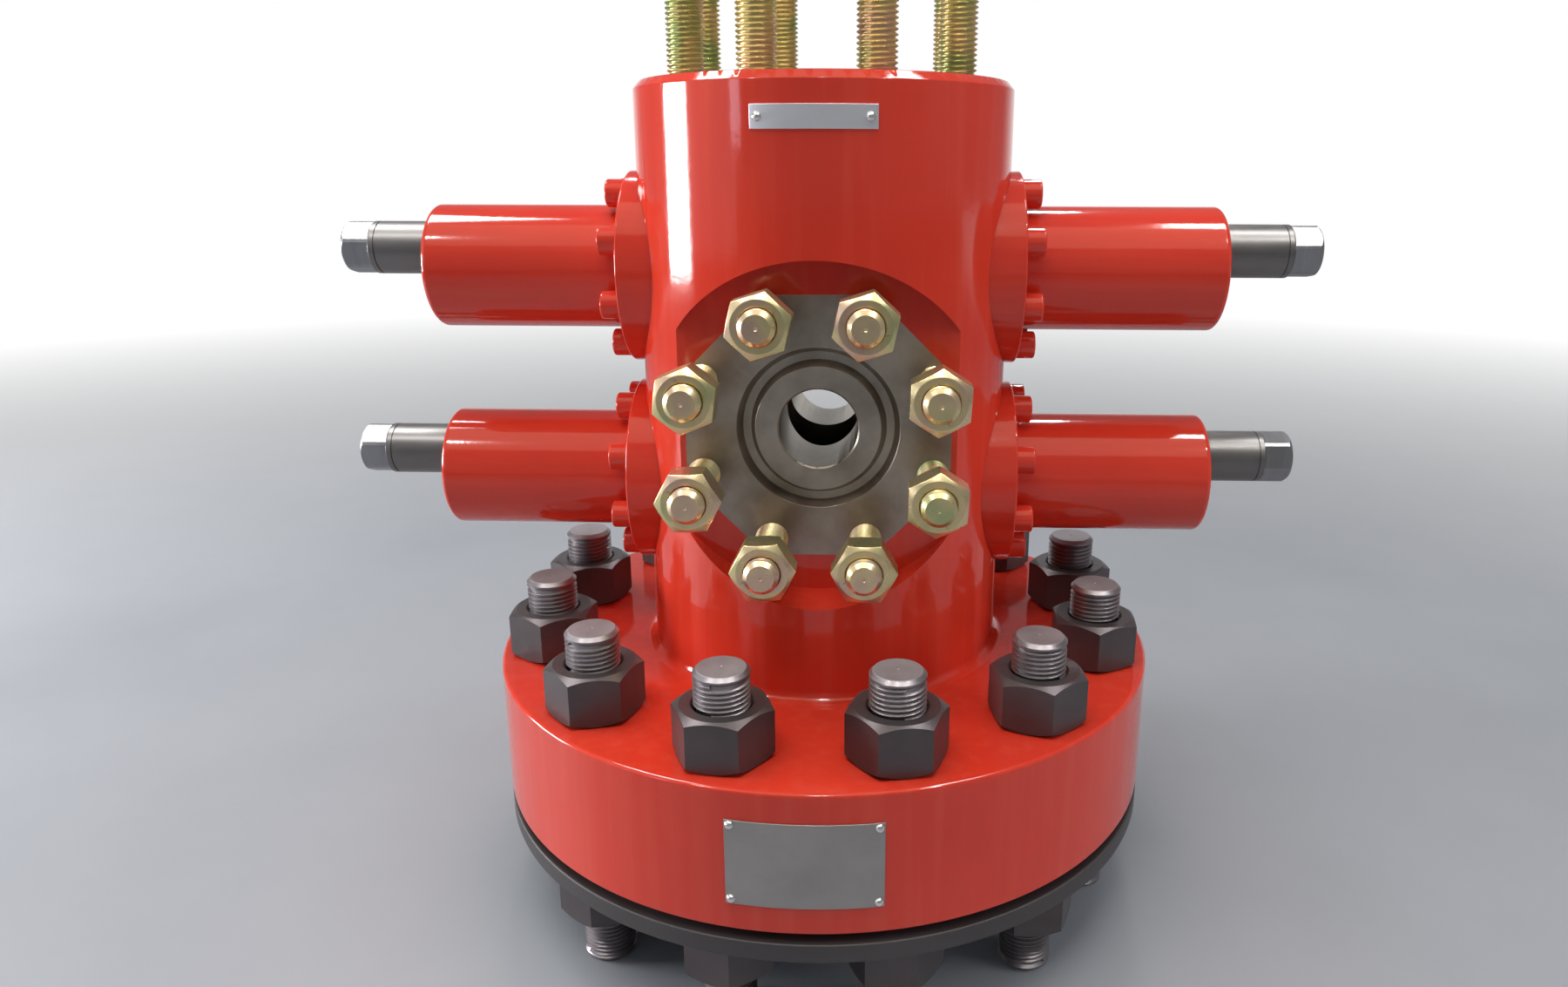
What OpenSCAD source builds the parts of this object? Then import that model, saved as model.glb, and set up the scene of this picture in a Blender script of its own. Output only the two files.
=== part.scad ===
// Flanged wellhead ram body: a vertical forging with a studded top, two studded side
// outlets, four horizontal ram bonnets, and a studded bottom flange on a round base plate.
// Millimetres. +Z is up, +X points along the right-hand bonnets, -Y is the front.
// The origin is on the main bore's axis, at the level of the floor that the studs stand on.

/* [Body] */
// Outside diameter of the forged body
body_d = 258.2; // [250:0.1:270]
// Chamfer round the top edge of the body
body_chamfer = 4.7; // [2:0.1:8]
// Fillet where the body meets the bottom flange
body_fillet = 7; // [3:0.5:12]
// Diameter of the vertical main bore
main_bore_d = 65.1; // [55:0.1:68]
// Height of the top face above the axis of the upper rams
top_rise = 123.7; // [115:0.1:150]
// Height of the upper ram axis above the outlet axis
upper_ram_rise = 96.8; // [92:0.1:110]
// Depth of the lower ram axis below the outlet axis
lower_ram_drop = 51.8; // [48:0.1:60]
// Height of the outlet axis above the bottom flange
outlet_rise = 177.5; // [170:0.1:200]

/* [Bottom flange] */
// Outside diameter of the bottom flange and of the base plate
flange_d = 482.6; // [470:0.1:500]
// Thickness of the bottom flange
flange_t = 94; // [80:0.5:110]
// Rounding of the flange's edges
flange_edge = 2.5; // [1:0.1:5]
// Gap that the ring gasket leaves between the flange and the base plate
flange_gap = 6.8; // [4:0.1:10]
// Thickness of the base plate
plate_t = 12.7; // [10:0.1:20]
// Distance of the flange studs' centres from the flange's edge
flange_stud_edge = 38.1; // [36:0.1:44]
// Number of flange studs
flange_studs_n = 12; // [8:4:12]
// Diameter of the flange studs
flange_stud_d = 34.92; // [30:0.01:36]
// Diameter of the clearance holes for the flange studs
flange_hole_d = 38.1; // [37:0.1:42]
// Width across flats of the flange nuts
flange_nut_af = 55.6; // [50:0.1:60]
// Height of the flange nuts
flange_nut_h = 34.1; // [28:0.1:36]
// Length of stud that stands above the upper nuts
stud_head = 22.9; // [10:0.1:40]
// Length of stud below the lower nuts, down to the floor
stud_foot = 36.4; // [15:0.1:50]
// Pitch diameter of the ring gasket
gasket_pitch_d = 269.9; // [240:0.1:290]

/* [Outlets] */
// Distance of an outlet's flat face from the main axis
outlet_face_y = 91.2; // [88:0.1:98]
// Diameter of the round pocket that clears each outlet face
pocket_d = 224; // [216:1:232]
// Bore of the side outlets
outlet_bore_d = 52.4; // [45:0.1:60]
// Bolt circle of the outlet studs
outlet_pcd = 165.1; // [155:0.1:170]
// Diameter of the outlet studs
outlet_stud_d = 22.22; // [18:0.01:24]
// Length of outlet stud that stands out of the face
outlet_stud_out = 76; // [60:1:100]
// Depth of the outlet studs in the body
outlet_stud_in = 24; // [18:1:28]
// Width across flats of the outlet nuts
outlet_nut_af = 36.5; // [32:0.1:40]
// Height of the outlet nuts
outlet_nut_h = 21.8; // [16:0.1:26]
// Length of outlet stud that shows beyond its nut
outlet_stud_tip = 8; // [4:0.5:20]
// Pitch diameter of the outlet's ring groove
outlet_groove_d = 95.25; // [85:0.05:105]

/* [Top connection] */
// Bolt circle of the top studs
top_pcd = 190.5; // [185:0.1:200]
// Diameter of the top studs
top_stud_d = 25.4; // [22:0.1:28]
// Length of top stud that stands above the body
top_stud_out = 104; // [80:1:140]
// Depth of the top studs in the body
top_stud_in = 32; // [25:1:40]
// Width across flats of the top nuts
top_nut_af = 41.3; // [38:0.1:44]
// Height of the top nuts
top_nut_h = 25; // [20:0.5:30]
// Length of top stud that shows beyond its nut
top_stud_tip = 4; // [4:0.5:20]
// Pitch diameter of the top ring groove
top_groove_d = 107.95; // [98:0.05:115]

/* [Bonnets] */
// Distance of the bonnets' seats from the main axis
seat_x = 108; // [104:0.5:110]
// Distance of the bonnet discs' outer faces from the main axis
disc_x = 135.6; // [128:0.1:142]
// Distance of the barrels' outer ends from the main axis
barrel_x = 275; // [240:1:285]
// Diameter of a bonnet barrel
barrel_d = 85.8; // [80:0.1:88]
// Rounding of the barrel's outer end
barrel_round = 4; // [1:0.5:8]
// Gap between the bonnet screws' heads and the barrel
head_barrel_gap = 3.1; // [2:0.1:6]
// Width of disc left outside the bonnet screws' heads
head_disc_land = 1.5; // [1:0.1:4]
// Diameter of the bonnet screws' shanks
bonnet_screw_d = 12.7; // [10:0.1:14]
// Depth of the bonnet screws in the body
bonnet_screw_in = 20; // [14:1:22]

/* [Rams and screws] */
// Diameter of a ram
ram_d = 66; // [64:0.1:68]
// Distance of a ram's front face from the main axis with the ram drawn back
ram_front_x = 36; // [36:0.5:38]
// Gap between the bonnet's seat and the ram that is drawn back furthest
ram_back_gap = 1; // [0.5:0.1:3]
// Diameter of a ram screw
screw_d = 37; // [32:0.1:38]
// Height of a ram screw's axis above its bonnet's axis
screw_rise = 12.6; // [11:0.1:13]
// Distance of a ram screw's outer end from the main axis
screw_end_x = 341; // [325:0.5:350]
// Length of the hexagon on a ram screw's end
hex_l = 19.5; // [14:0.5:26]
// Width across flats of the hexagon
hex_af = 33.3; // [30:0.1:34]
// Distance of the groove from the hexagon
groove_back = 5.5; // [4:0.5:10]

/* [Plates] */
// Width of the small tag near the top, round the curve
tag_w = 76; // [50:1:90]
// Height of the small tag
tag_h = 14; // [10:0.5:20]
// Distance of the tag's centre below the top face
tag_drop = 26.4; // [20:0.1:35]
// Width of the nameplate, round the curve
nameplate_w = 94; // [70:1:120]
// Height of the nameplate
nameplate_h = 56; // [40:1:64]
// Thickness of both plates
sheet_t = 1; // [0.5:0.1:2]
// Diameter of a rivet's head
rivet_d = 6; // [4:0.1:7]

/* [Hidden] */
$fn = 96;

eps = 0.5;
// Radial room between a thread's crests and the piece that it is screwed into
thread_room = 0.1;
// Radial room of a ram screw in its bonnet and in its ram
screw_room = 0.06;
// Radial room of a ram in its bore
ram_room = 0.3;
// Room between a curved plate and the curved face behind it
sheet_room = 0.05;

// Bevels at the ends of the studs, and on the edges of the base plate and the bonnet discs
flange_stud_bevel = 2.5;
outlet_stud_bevel = 2.7;
top_stud_bevel = 2.9;
plate_bevel = 0.8;
disc_bevel = 1;

// Bolt circle of the flange studs
flange_pcd = flange_d - 2 * flange_stud_edge;

// Levels, counted up from the floor under the studs
lower_nut_z = stud_foot;
plate_z = lower_nut_z + flange_nut_h;
flange_z = plate_z + plate_t + flange_gap;
flange_top_z = flange_z + flange_t;
flange_stud_l = flange_top_z + flange_nut_h + stud_head;
outlet_z = flange_top_z + outlet_rise;
upper_z = outlet_z + upper_ram_rise;
lower_z = outlet_z - lower_ram_drop;
body_top_z = upper_z + top_rise;

// Ring grooves and the gasket
groove_w = 11.91;
groove_h = 7.92;
groove_wall = 23;
gasket_w = 11.1;
plate_groove_h = 4;
// Room of the gasket from the grooves' sloping walls and from their bottoms
gasket_room = 0.08;
gasket_end_room = 0.4;

// Side of each bonnet: right is 1, left is -1
RIGHT = 1;
LEFT = -1;
// How much further out than the common position each ram and its screw stand
upper_left_out = 0;
upper_right_out = 3.3;
lower_left_out = 3.3;
lower_right_out = -1.5;
// How far each screw's hexagon is turned on its axis
upper_left_turn = 48;
upper_right_turn = 18;
lower_left_turn = 52.5;
lower_right_turn = 48.6;

// Number of studs round an outlet and on the top, and of screws round a bonnet
outlet_studs_n = 8;
top_studs_n = 8;
bonnet_screws_n = 8;

// Socket-head cap screws of the bonnets
screw_head_d = 19;
screw_head_h = 12.7;
screw_head_edge = 1.4;
socket_af = 9.5;
socket_h = 6;
bonnet_pcd = barrel_d + screw_head_d + 2 * head_barrel_gap;
disc_d = bonnet_pcd + screw_head_d + 2 * head_disc_land;
disc_t = disc_x - seat_x;

// How far each nut is turned on its stud, in degrees, counted round from +X
upper_nut_turns = [34, 3, 12, 47, 21, 31, 14, 29, 39, 25, 25, 42];
lower_nut_turns = [8, 31, 50, 17, 43, 26, 5, 38, 22, 11, 54, 35];
front_nut_turns = [5, 10, 25, 45, 40, 55, 7, 50];
back_nut_turns = [33, 8, 50, 21, 14, 47, 29, 3];
top_nut_turns = [12, 40, 26, 55, 8, 33, 48, 19];
// Share of a nut's width across flats that its flat end circle keeps, for black and for zinc nuts
nut_end_share = 0.94;
zinc_nut_end_share = 0.88;

// The ram, its rubber face and the screw's button end
furthest_out = max(upper_left_out, upper_right_out, lower_left_out, lower_right_out);
ram_l = seat_x - ram_back_gap - furthest_out - ram_front_x;
rod_notch_d = 12;
seal_t = 12;
button_d = 26;
button_l = 10;
neck_d = 18;
neck_l = 8;
screw_bevel = 1.2;
hex_bevel = 2;
// Width and depth of the fine groove near the hexagon
screw_groove_w = 1.2;
screw_groove_h = 0.8;

// Where the plates sit
tag_z = body_top_z - tag_drop;
nameplate_z = flange_z + flange_t / 2;
nameplate_turn = -0.2;
// Distance of the rivets from the ends of the tag and from the nameplate's edges
tag_rivet_inset = 4.6;
nameplate_rivet_inset = 3.3;
// Height of a rivet's head as a share of its diameter
rivet_cap_share = 0.36;

red = [0.78, 0.2, 0.13];
black = [0.18, 0.17, 0.17];
zinc = [0.78, 0.7, 0.42];
steel = [0.5, 0.5, 0.5];
bright = [0.75, 0.75, 0.73];
rubber = [0.1, 0.1, 0.1];

// What a rounding of radius r takes off a corner at the origin, the solid being left of and below it
module outer_corner(r) {
    difference() {
        translate([-r, -r])
            square(r + eps);
        translate([-r, -r])
            circle(r = r);
    }
}

// A rod along +Z with a bevel at both ends
module bevelled_rod(d, l, bevel) {
    rotate_extrude()
        polygon([[0, 0], [d / 2 - bevel, 0], [d / 2, bevel], [d / 2, l - bevel], [d / 2 - bevel, l], [0, l]]);
}

// A heavy hexagon nut along +Z, its corners chamfered at both ends
module hex_nut(af, h, hole_d, end_share) {
    corner = af / cos(30) / 2;
    end_r = af / 2 * end_share;
    cut = (corner - end_r) * tan(30);
    difference() {
        intersection() {
            cylinder(h = h, d = af / cos(30), $fn = 6);
            rotate_extrude()
                polygon([[0, 0], [end_r, 0], [corner, cut], [corner, h - cut], [end_r, h], [0, h]]);
        }
        translate([0, 0, -eps])
            cylinder(h = h + 2 * eps, d = hole_d);
    }
}

// A ring groove with sloping walls, cut down from z = 0
module ring_groove(pitch_d, depth) {
    top = groove_w / 2;
    bottom = top - depth * tan(groove_wall);
    rotate_extrude()
        translate([pitch_d / 2, 0])
            polygon([[-bottom, -depth], [bottom, -depth], [top, 0], [top, eps], [-top, eps], [-top, 0]]);
}

// Places its child at each point of a circle of n, half a step round from +X
module round_circle(pcd, n) {
    for (i = [0 : n - 1])
        rotate([0, 0, (i + 0.5) * 360 / n])
            translate([pcd / 2, 0, 0])
                children();
}

// The same, with each child turned on its own axis
module turned_circle(pcd, n, turns) {
    for (i = [0 : n - 1])
        rotate([0, 0, (i + 0.5) * 360 / n])
            translate([pcd / 2, 0, 0])
                rotate([0, 0, turns[i]])
                    children();
}

// Turns +Z to the front (-Y) or the back (+Y) at the outlet's axis
module at_outlet(side) {
    translate([0, 0, outlet_z])
        rotate([side * 90, 0, 0])
            children();
}

// Turns +Z outward along a bonnet's axis
module at_bonnet(side, z) {
    translate([0, 0, z])
        rotate([0, side * 90, 0])
            children();
}

// The body's outline turned about the main axis, with the bottom flange in one piece
module body_solid() {
    flange_r = flange_d / 2;
    body_r = body_d / 2;
    rotate_extrude() {
        difference() {
            union() {
                translate([0, flange_z])
                    square([flange_r, flange_t]);
                translate([0, flange_z])
                    square([body_r, body_top_z - flange_z]);
                translate([0, flange_top_z])
                    square([body_r + body_fillet, body_fillet]);
            }
            translate([body_r + body_fillet, flange_top_z + body_fillet])
                circle(r = body_fillet);
            translate([body_r, body_top_z - body_chamfer])
                rotate(45)
                    translate([-body_chamfer * 2, 0])
                        square([body_chamfer * 4, body_chamfer * 2]);
            for (edge = [[flange_top_z, 1], [flange_z, -1]])
                translate([flange_r, edge[0]])
                    difference() {
                        translate([-flange_edge, edge[1] > 0 ? -flange_edge : 0])
                            square([flange_edge + eps, flange_edge]);
                        translate([-flange_edge, -edge[1] * flange_edge])
                            circle(r = flange_edge);
                    }
        }
    }
}

// Everything cut for one outlet, with the face at z = outlet_face_y along +Z
module outlet_cuts() {
    translate([0, 0, outlet_face_y])
        cylinder(h = body_d, d = pocket_d);
    cylinder(h = outlet_face_y + eps, d = outlet_bore_d);
    translate([0, 0, outlet_face_y])
        ring_groove(outlet_groove_d, groove_h);
    translate([0, 0, outlet_face_y - outlet_stud_in])
        round_circle(outlet_pcd, outlet_studs_n)
            cylinder(h = outlet_stud_in + eps, d = outlet_stud_d + 2 * thread_room);
}

// The seat of one bonnet and its ram's bore, along +Z
module bonnet_cuts() {
    cylinder(h = seat_x + eps, d = ram_d + 2 * ram_room);
    translate([0, 0, seat_x])
        cylinder(h = body_d, d = disc_d + 2 * ram_room);
    translate([0, 0, seat_x - bonnet_screw_in])
        round_circle(bonnet_pcd, bonnet_screws_n)
            cylinder(h = bonnet_screw_in + eps, d = bonnet_screw_d + 2 * thread_room);
}

module body() {
    color(red)
        difference() {
            body_solid();
            translate([0, 0, flange_z - eps])
                cylinder(h = body_top_z - flange_z + 2 * eps, d = main_bore_d);
            translate([0, 0, body_top_z])
                ring_groove(top_groove_d, groove_h);
            translate([0, 0, body_top_z - top_stud_in])
                round_circle(top_pcd, top_studs_n)
                    cylinder(h = top_stud_in + eps, d = top_stud_d + 2 * thread_room);
            translate([0, 0, flange_z])
                mirror([0, 0, 1])
                    ring_groove(gasket_pitch_d, groove_h);
            translate([0, 0, flange_z - eps])
                round_circle(flange_pcd, flange_studs_n)
                    cylinder(h = flange_t + 2 * eps, d = flange_hole_d);
            for (side = [1, -1])
                at_outlet(side)
                    outlet_cuts();
            for (side = [RIGHT, LEFT], z = [upper_z, lower_z])
                at_bonnet(side, z)
                    bonnet_cuts();
        }
}

module ring_gasket() {
    half = gasket_w / 2;
    slope = tan(groove_wall);
    wall = groove_w / 2 - gasket_room;
    shoulder = (wall - half) / slope;
    upper = groove_h - gasket_end_room;
    lower = plate_groove_h - gasket_end_room;
    upper_half = wall - upper * slope;
    lower_half = wall - lower * slope;
    color(steel)
        translate([0, 0, flange_z])
            rotate_extrude()
                translate([gasket_pitch_d / 2, 0])
                    polygon([
                        [-lower_half, -flange_gap - lower], [lower_half, -flange_gap - lower],
                        [half, -flange_gap - shoulder], [half, shoulder],
                        [upper_half, upper], [-upper_half, upper],
                        [-half, shoulder], [-half, -flange_gap - shoulder]
                    ]);
}

module base_plate() {
    color(black)
        difference() {
            translate([0, 0, plate_z])
                bevelled_rod(flange_d, plate_t, plate_bevel);
            translate([0, 0, plate_z + plate_t])
                ring_groove(gasket_pitch_d, plate_groove_h);
            translate([0, 0, plate_z - eps])
                round_circle(flange_pcd, flange_studs_n)
                    cylinder(h = plate_t + 2 * eps, d = flange_hole_d);
        }
}

module flange_studs() {
    color(black)
        round_circle(flange_pcd, flange_studs_n)
            bevelled_rod(flange_stud_d, flange_stud_l, flange_stud_bevel);
}

module flange_nuts(z, turns) {
    color(black)
        translate([0, 0, z])
            turned_circle(flange_pcd, flange_studs_n, turns)
                hex_nut(flange_nut_af, flange_nut_h, flange_stud_d + 2 * thread_room, nut_end_share);
}

module outlet_studs(side) {
    color(zinc)
        at_outlet(side)
            translate([0, 0, outlet_face_y - outlet_stud_in])
                round_circle(outlet_pcd, outlet_studs_n)
                    bevelled_rod(outlet_stud_d, outlet_stud_in + outlet_stud_out, outlet_stud_bevel);
}

module outlet_nuts(side, turns) {
    color(zinc)
        at_outlet(side)
            translate([0, 0, outlet_face_y + outlet_stud_out - outlet_stud_tip - outlet_nut_h])
                turned_circle(outlet_pcd, outlet_studs_n, turns)
                    hex_nut(outlet_nut_af, outlet_nut_h, outlet_stud_d + 2 * thread_room,
                            zinc_nut_end_share);
}

module top_studs() {
    color(zinc)
        translate([0, 0, body_top_z - top_stud_in])
            round_circle(top_pcd, top_studs_n)
                bevelled_rod(top_stud_d, top_stud_in + top_stud_out, top_stud_bevel);
}

module top_nuts() {
    color(zinc)
        translate([0, 0, body_top_z + top_stud_out - top_stud_tip - top_nut_h])
            turned_circle(top_pcd, top_studs_n, top_nut_turns)
                hex_nut(top_nut_af, top_nut_h, top_stud_d + 2 * thread_room, zinc_nut_end_share);
}

// One bonnet: disc and barrel in one piece, with the screw's eccentric bore through it
module bonnet(side, z) {
    color(red)
        at_bonnet(side, z)
            difference() {
                union() {
                    translate([0, 0, seat_x])
                        bevelled_rod(disc_d, disc_t, disc_bevel);
                    rotate_extrude()
                        difference() {
                            translate([0, seat_x])
                                square([barrel_d / 2, barrel_x - seat_x]);
                            translate([barrel_d / 2, barrel_x])
                                outer_corner(barrel_round);
                        }
                }
                translate([-side * screw_rise, 0, seat_x - eps])
                    cylinder(h = barrel_x - seat_x + 2 * eps, d = screw_d + 2 * screw_room);
                translate([0, 0, seat_x - eps])
                    round_circle(bonnet_pcd, bonnet_screws_n)
                        cylinder(h = disc_t + 2 * eps, d = bonnet_screw_d + 2 * thread_room);
            }
}

module bonnet_screws(side, z) {
    color(red)
        at_bonnet(side, z)
            round_circle(bonnet_pcd, bonnet_screws_n)
                difference() {
                    union() {
                        translate([0, 0, seat_x - bonnet_screw_in])
                            cylinder(h = bonnet_screw_in + disc_t, d = bonnet_screw_d);
                        translate([0, 0, disc_x])
                            rotate_extrude()
                                difference() {
                                    square([screw_head_d / 2, screw_head_h]);
                                    translate([screw_head_d / 2, screw_head_h])
                                        outer_corner(screw_head_edge);
                                }
                    }
                    translate([0, 0, disc_x + screw_head_h - socket_h])
                        cylinder(h = socket_h + eps, d = socket_af / cos(30), $fn = 6);
                }
}

// A ram: a round block whose back holds the screw's button and neck
module ram(side, z, out) {
    color(steel)
        at_bonnet(side, z)
            translate([0, 0, ram_front_x + out])
                difference() {
                    translate([0, 0, seal_t])
                        cylinder(h = ram_l - seal_t, d = ram_d);
                    translate([-side * screw_rise, 0, ram_l - neck_l - eps])
                        cylinder(h = neck_l + 2 * eps, d = neck_d + 2 * screw_room);
                    translate([-side * screw_rise, 0, ram_l - neck_l - button_l])
                        cylinder(h = button_l, d = button_d + 2 * screw_room);
                }
}

// The rubber face of a ram, with a half-round notch for the rod
module ram_seal(side, z, out) {
    color(rubber)
        at_bonnet(side, z)
            translate([0, 0, ram_front_x + out])
                difference() {
                    cylinder(h = seal_t, d = ram_d);
                    translate([-ram_d, 0, 0])
                        rotate([0, 90, 0])
                            cylinder(h = 2 * ram_d, d = rod_notch_d);
                }
}

// A ram screw: button and neck in the ram, plain round shank, and a hexagon on its end.
// The neck goes on inside the shank and the hexagon as the screw's core.
module ram_screw(side, z, out, turn) {
    shank_z = ram_front_x + ram_l + screw_room;
    button_z = shank_z - neck_l - button_l;
    hex_z = screw_end_x - hex_l;
    color(steel)
        at_bonnet(side, z)
            translate([-side * screw_rise, 0, out])
                union() {
                    translate([0, 0, button_z])
                        cylinder(h = button_l - 2 * screw_room, d = button_d);
                    translate([0, 0, button_z])
                        cylinder(h = screw_end_x - hex_bevel - button_z, d = neck_d);
                    translate([0, 0, shank_z])
                        difference() {
                            bevelled_rod(screw_d, hex_z - shank_z, screw_bevel);
                            translate([0, 0, hex_z - shank_z - groove_back])
                                difference() {
                                    cylinder(h = screw_groove_w, d = screw_d + 2 * eps);
                                    translate([0, 0, -eps])
                                        cylinder(h = screw_groove_w + 2 * eps,
                                                 d = screw_d - 2 * screw_groove_h);
                                }
                        }
                    translate([0, 0, hex_z])
                        rotate([0, 0, turn])
                            intersection() {
                                cylinder(h = hex_l, d = hex_af / cos(30), $fn = 6);
                                bevelled_rod(screw_d, hex_l, hex_bevel);
                            }
                }
}

// A thin plate bent round the main axis, centred on the front
module bent_sheet(r, w, h, z) {
    arc = w / r * 180 / PI;
    translate([0, 0, z - h / 2])
        rotate([0, 0, -90 - arc / 2])
            rotate_extrude(angle = arc)
                translate([r + sheet_room, 0])
                    square([sheet_t, h]);
}

// A round rivet head on the curved face at radius r
module rivet_head(r, along, z) {
    cap = rivet_d * rivet_cap_share;
    ball = (rivet_d * rivet_d / 4 + cap * cap) / (2 * cap);
    rotate([0, 0, -90 + along / r * 180 / PI])
        translate([r + sheet_room + sheet_t + sheet_room, 0, z])
            rotate([0, 90, 0])
                intersection() {
                    translate([0, 0, cap - ball])
                        sphere(r = ball);
                    cylinder(h = cap + eps, r = rivet_d);
                }
}

module rating_tag() {
    color(bright)
        bent_sheet(body_d / 2, tag_w, tag_h, tag_z);
}

module rating_tag_rivets() {
    color(bright)
        for (s = [-1, 1])
            rivet_head(body_d / 2, s * (tag_w / 2 - tag_rivet_inset), tag_z);
}

module nameplate() {
    color(bright)
        rotate([0, 0, nameplate_turn])
            bent_sheet(flange_d / 2, nameplate_w, nameplate_h, nameplate_z);
}

module nameplate_rivets() {
    color(bright)
        rotate([0, 0, nameplate_turn])
            for (s = [-1, 1], t = [-1, 1])
                rivet_head(flange_d / 2, s * (nameplate_w / 2 - nameplate_rivet_inset),
                           nameplate_z + t * (nameplate_h / 2 - nameplate_rivet_inset));
}

body();
ring_gasket();
base_plate();
flange_studs();
flange_nuts(flange_top_z, upper_nut_turns);  // flange_upper_nuts
flange_nuts(lower_nut_z, lower_nut_turns);  // flange_lower_nuts
outlet_studs(1);  // front_outlet_studs
outlet_nuts(1, front_nut_turns);  // front_outlet_nuts
outlet_studs(-1);  // back_outlet_studs
outlet_nuts(-1, back_nut_turns);  // back_outlet_nuts
top_studs();
top_nuts();
bonnet(LEFT, upper_z);  // upper_left_bonnet
bonnet(RIGHT, upper_z);  // upper_right_bonnet
bonnet(LEFT, lower_z);  // lower_left_bonnet
bonnet(RIGHT, lower_z);  // lower_right_bonnet
bonnet_screws(LEFT, upper_z);  // upper_left_bonnet_screws
bonnet_screws(RIGHT, upper_z);  // upper_right_bonnet_screws
bonnet_screws(LEFT, lower_z);  // lower_left_bonnet_screws
bonnet_screws(RIGHT, lower_z);  // lower_right_bonnet_screws
ram(LEFT, upper_z, upper_left_out);  // upper_left_ram
ram(RIGHT, upper_z, upper_right_out);  // upper_right_ram
ram(LEFT, lower_z, lower_left_out);  // lower_left_ram
ram(RIGHT, lower_z, lower_right_out);  // lower_right_ram
ram_seal(LEFT, upper_z, upper_left_out);  // upper_left_ram_seal
ram_seal(RIGHT, upper_z, upper_right_out);  // upper_right_ram_seal
ram_seal(LEFT, lower_z, lower_left_out);  // lower_left_ram_seal
ram_seal(RIGHT, lower_z, lower_right_out);  // lower_right_ram_seal
ram_screw(LEFT, upper_z, upper_left_out, upper_left_turn);  // upper_left_ram_screw
ram_screw(RIGHT, upper_z, upper_right_out, upper_right_turn);  // upper_right_ram_screw
ram_screw(LEFT, lower_z, lower_left_out, lower_left_turn);  // lower_left_ram_screw
ram_screw(RIGHT, lower_z, lower_right_out, lower_right_turn);  // lower_right_ram_screw
rating_tag();
rating_tag_rivets();
nameplate();
nameplate_rivets();
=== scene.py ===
from math import acos, cos, pi, radians, sin, sqrt, tan

import bpy
from mathutils import Matrix, Vector


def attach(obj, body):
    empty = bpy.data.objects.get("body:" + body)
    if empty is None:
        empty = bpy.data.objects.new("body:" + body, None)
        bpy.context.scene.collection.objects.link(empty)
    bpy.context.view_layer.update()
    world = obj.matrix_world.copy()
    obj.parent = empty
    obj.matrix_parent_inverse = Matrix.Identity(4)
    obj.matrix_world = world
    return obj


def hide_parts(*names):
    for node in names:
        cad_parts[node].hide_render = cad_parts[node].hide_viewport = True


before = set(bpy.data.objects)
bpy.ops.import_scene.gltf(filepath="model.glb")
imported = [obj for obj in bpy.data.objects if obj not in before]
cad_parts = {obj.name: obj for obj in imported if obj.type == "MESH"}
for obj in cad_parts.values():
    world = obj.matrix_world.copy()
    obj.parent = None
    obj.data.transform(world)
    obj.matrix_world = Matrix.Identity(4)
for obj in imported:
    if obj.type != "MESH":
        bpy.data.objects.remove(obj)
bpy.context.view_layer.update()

MM = 0.001
RIGHT, LEFT = 1, -1
FRONT, BACK = 1, -1

# Levels and sizes in millimetres. The floor is at z = 0 and the main bore is the z axis.
# Body, flange and base plate
BODY_R = 129.1
BODY_TOP = 582.0
TOP_CHAMFER = 4.7
BORE_R = 32.55
FLANGE_R = 241.3
FLANGE_LOW = 90.0
FLANGE_TOP = 184.0
FLANGE_EDGE = 2.5
FLANGE_FILLET = 7.0
PLATE_LOW = 70.5
PLATE_TOP = 83.2
PLATE_EDGE = 1.2
# Ring grooves: radii of the inner edge, of the bottom's two corners and of the outer edge
GROOVE_DEEP = 7.92
TOP_GROOVE = (48.02, 51.38, 56.57, 59.93)
OUTLET_GROOVE = (41.67, 45.03, 50.22, 53.58)
PLATE_GROOVE_DEEP = 4
PLATE_GROOVE = (128.4, 130.6, 139.3, 141.5)
# Side outlets: level of the axis, distance of the face, and radii
OUTLET_Z = 361.5
OUTLET_FACE = 91.2
POCKET_R = 112.0
OUTLET_BORE_R = 26.2
# Bonnets: levels, distances of seat, disc and barrel end from the main axis, and radii
UPPER_Z = 458.3
LOWER_Z = 309.7
SEAT = 108.0
DISC = 135.6
BARREL = 275.0
DISC_R = 66.5
BARREL_R = 42.9
RAM_BORE_R = 33.3
CAP_SCREW_CIRCLE = 111.0
CAP_SCREW_SHANK_R = 6.35
CAP_SCREW_HEAD_R = 9.5
CAP_SCREW_HEAD_H = 12.7
CAP_SCREW_IN = 20.0
CAP_SCREW_KEY = 9.5
CAP_SCREW_EDGE = 1.6
# Ram screws: radius, rise over the bonnet's axis, places of the outer and the inner end
SCREW_R = 18.5
SCREW_RISE = 12.6
SCREW_END = 341.0
SCREW_BACK = 103.7
HEX_ACROSS = 33.3
HEX_LONG = 19.5
# Bolting: each stud's size, circle and pitch, how far it goes in, stands out and ends past its nut
FLANGE_STUD_D = 34.92
FLANGE_STUD_LONG = 241.0
FLANGE_CIRCLE = 406.4
FLANGE_NUT_ACROSS = 55.6
FLANGE_NUT_H = 34.1
LOWER_NUT_Z = 36.4
COARSE_PITCH = 3.175
OUTLET_STUD_D = 22.22
OUTLET_CIRCLE = 165.1
OUTLET_PITCH = 2.822
OUTLET_STUD_IN = 24.0
OUTLET_STUD_OUT = 76.0
OUTLET_STUD_PAST = 8.0
OUTLET_NUT_ACROSS = 36.5
OUTLET_NUT_H = 21.8
TOP_STUD_D = 25.4
TOP_CIRCLE = 190.5
TOP_STUD_IN = 32.0
TOP_STUD_OUT = 104.0
TOP_STUD_PAST = 4.0
TOP_NUT_ACROSS = 41.3
TOP_NUT_H = 25.0
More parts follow.
